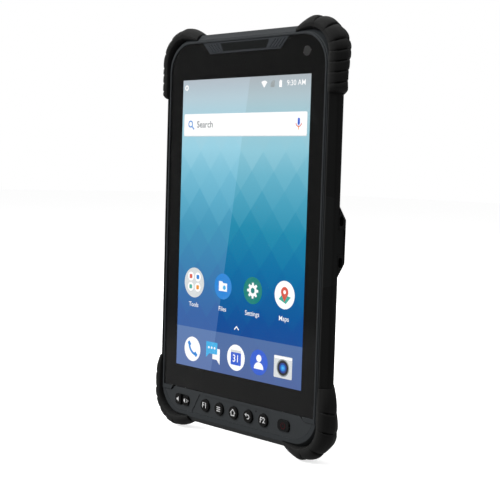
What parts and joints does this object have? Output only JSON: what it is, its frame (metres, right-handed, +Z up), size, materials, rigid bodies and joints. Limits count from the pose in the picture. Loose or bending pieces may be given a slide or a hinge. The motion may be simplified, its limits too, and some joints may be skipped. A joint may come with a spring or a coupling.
{
  "type": "data collector",
  "caption": "Rugged handheld tablet with rubber corner bumpers, a large touch screen and a row of front keys, for recording field survey data.",
  "frame": {"origin": "under the middle of the tablet, on the plane that its lower bumpers stand on", "axes": "+X to the right as the screen is read, +Y from the screen towards the back, +Z up the screen"},
  "size_m": [0.149, 0.0208, 0.2437],
  "materials": {
    "body_plastic": "satin",
    "cover_glass": "gloss",
    "foam_black": "matte",
    "display": "gloss",
    "backlight_white": "satin",
    "lens_glass": "gloss",
    "module_black": "satin",
    "plate_black": "gloss",
    "seal_rubber": "matte",
    "dome_steel": "satin",
    "board_green": "satin",
    "can_metal": "satin",
    "chassis_alloy": "satin",
    "screw_steel": "satin",
    "bumper_rubber": "matte",
    "antenna_ceramic": "satin",
    "lamp_plastic": "satin",
    "mesh_steel": "matte",
    "contact_brass": "polished",
    "battery_wrap": "satin",
    "latch_plastic": "satin",
    "key_plastic": "gloss"
  },
  "bodies": {
    "tablet": {"front_frame": "body_plastic", "key_panel": "body_plastic", "cover_glass": "cover_glass", "glass_adhesive": "foam_black", "display_panel": "display", "backlight": "backlight_white", "front_camera_window": "lens_glass", "front_camera": "module_black", "badge": "body_plastic", "badge_plate": "plate_black", "key_seal": "seal_rubber", "key_domes": "dome_steel", "key_board": "board_green", "microphone": "can_metal", "mid_chassis": "chassis_alloy", "housing_seal": "seal_rubber", "rear_housing": "body_plastic", "housing_screws": "screw_steel", "bumper_top_right": "bumper_rubber", "bumper_top_left": "bumper_rubber", "bumper_bottom_right": "bumper_rubber", "bumper_bottom_left": "bumper_rubber", "strap_lug_right": "body_plastic", "strap_lug_left": "body_plastic", "side_grip_right_upper": "bumper_rubber", "side_grip_right_lower": "bumper_rubber", "side_grip_left_upper": "bumper_rubber", "side_grip_left_lower": "bumper_rubber", "main_board": "board_green", "board_screws": "screw_steel", "shield_cans": "can_metal", "gnss_antenna": "antenna_ceramic", "vibration_motor": "can_metal", "rear_camera": "module_black", "camera_glass": "lens_glass", "flash_lamp": "lamp_plastic", "flash_glass": "lens_glass", "battery_contacts": "module_black", "port_board": "board_green", "usb_socket": "can_metal", "card_reader": "can_metal", "speaker_mesh": "mesh_steel", "speaker": "module_black", "dock_block": "module_black", "dock_contacts": "contact_brass", "battery_pack": "battery_wrap", "battery_cover": "body_plastic"},
    "volume_down_key_body": {"volume_down_key": "key_plastic"},
    "volume_up_key_body": {"volume_up_key": "key_plastic"},
    "f1_key_body": {"f1_key": "key_plastic"},
    "menu_key_body": {"menu_key": "key_plastic"},
    "home_key_body": {"home_key": "key_plastic"},
    "back_key_body": {"back_key": "key_plastic"},
    "f2_key_body": {"f2_key": "key_plastic"},
    "power_key_body": {"power_key": "key_plastic"},
    "battery_latch_left_body": {"battery_latch_left": "latch_plastic"},
    "battery_latch_right_body": {"battery_latch_right": "latch_plastic"},
    "port_door_body": {"port_door": "bumper_rubber"}
  },
  "joints": [
    {"name": "volume_down_key_press", "type": "slide", "parent": "tablet", "child": "volume_down_key_body", "axis": [0, 1, 0], "range_m": [0, 0.0005], "stiffness_N_per_m": 3000},
    {"name": "volume_up_key_press", "type": "slide", "parent": "tablet", "child": "volume_up_key_body", "axis": [0, 1, 0], "range_m": [0, 0.0005], "stiffness_N_per_m": 3000},
    {"name": "f1_key_press", "type": "slide", "parent": "tablet", "child": "f1_key_body", "axis": [0, 1, 0], "range_m": [0, 0.0005], "stiffness_N_per_m": 3000},
    {"name": "menu_key_press", "type": "slide", "parent": "tablet", "child": "menu_key_body", "axis": [0, 1, 0], "range_m": [0, 0.0005], "stiffness_N_per_m": 3000},
    {"name": "home_key_press", "type": "slide", "parent": "tablet", "child": "home_key_body", "axis": [0, 1, 0], "range_m": [0, 0.0005], "stiffness_N_per_m": 3000},
    {"name": "back_key_press", "type": "slide", "parent": "tablet", "child": "back_key_body", "axis": [0, 1, 0], "range_m": [0, 0.0005], "stiffness_N_per_m": 3000},
    {"name": "f2_key_press", "type": "slide", "parent": "tablet", "child": "f2_key_body", "axis": [0, 1, 0], "range_m": [0, 0.0005], "stiffness_N_per_m": 3000},
    {"name": "power_key_press", "type": "slide", "parent": "tablet", "child": "power_key_body", "axis": [0, 1, 0], "range_m": [0, 0.0005], "stiffness_N_per_m": 3000},
    {"name": "battery_latch_left_slide", "type": "slide", "parent": "tablet", "child": "battery_latch_left_body", "axis": [0, 0, 1], "range_m": [0, 0.003]},
    {"name": "battery_latch_right_slide", "type": "slide", "parent": "tablet", "child": "battery_latch_right_body", "axis": [0, 0, 1], "range_m": [0, 0.003]},
    {"name": "port_door_hinge", "type": "hinge", "parent": "tablet", "child": "port_door_body", "pos_m": [-0.0715, 0, 0.1641], "axis": [0, -1, 0], "range_deg": [0, 100]}
  ]
}
